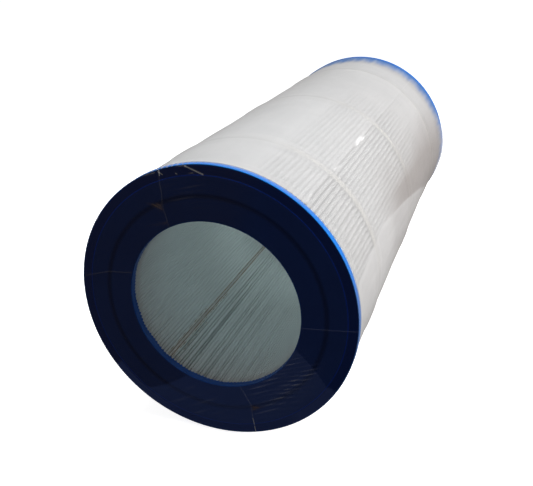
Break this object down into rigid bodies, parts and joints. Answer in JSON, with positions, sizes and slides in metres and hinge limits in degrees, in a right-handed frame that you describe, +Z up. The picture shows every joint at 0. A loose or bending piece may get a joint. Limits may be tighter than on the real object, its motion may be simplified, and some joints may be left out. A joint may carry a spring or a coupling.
{
  "type": "filter cartridge",
  "caption": "Pleated filter cartridge for a pool or spa: folded fabric between two moulded end caps with an open bore, held by straps round the folds.",
  "frame": {"origin": "on the floor under the middle of the cartridge, which lies on its side", "axes": "+Y along the cartridge's axis from the front cap to the rear cap, +Z up, +X to the right of someone who faces the front cap"},
  "size_m": [0.2268, 0.547, 0.2269],
  "materials": {
    "blue_urethane": "smooth moulded urethane, dark navy where it faces away from the light and bright blue at lit edges",
    "filter_fabric": "matt white non-woven polyester, sharply folded",
    "cream_strap": "flat cream strap, slightly yellower than the fabric",
    "seam_adhesive": "thin amber-brown glue line",
    "shrink_film": "clear packaging film with creases and pinched seams"
  },
  "bodies": {
    "root": {"front_end_cap": "blue_urethane", "rear_end_cap": "blue_urethane", "pleated_sheet": "filter_fabric", "side_seam": "seam_adhesive", "front_strap": "cream_strap", "middle_strap": "cream_strap", "rear_strap": "cream_strap"}
  },
  "joints": []
}
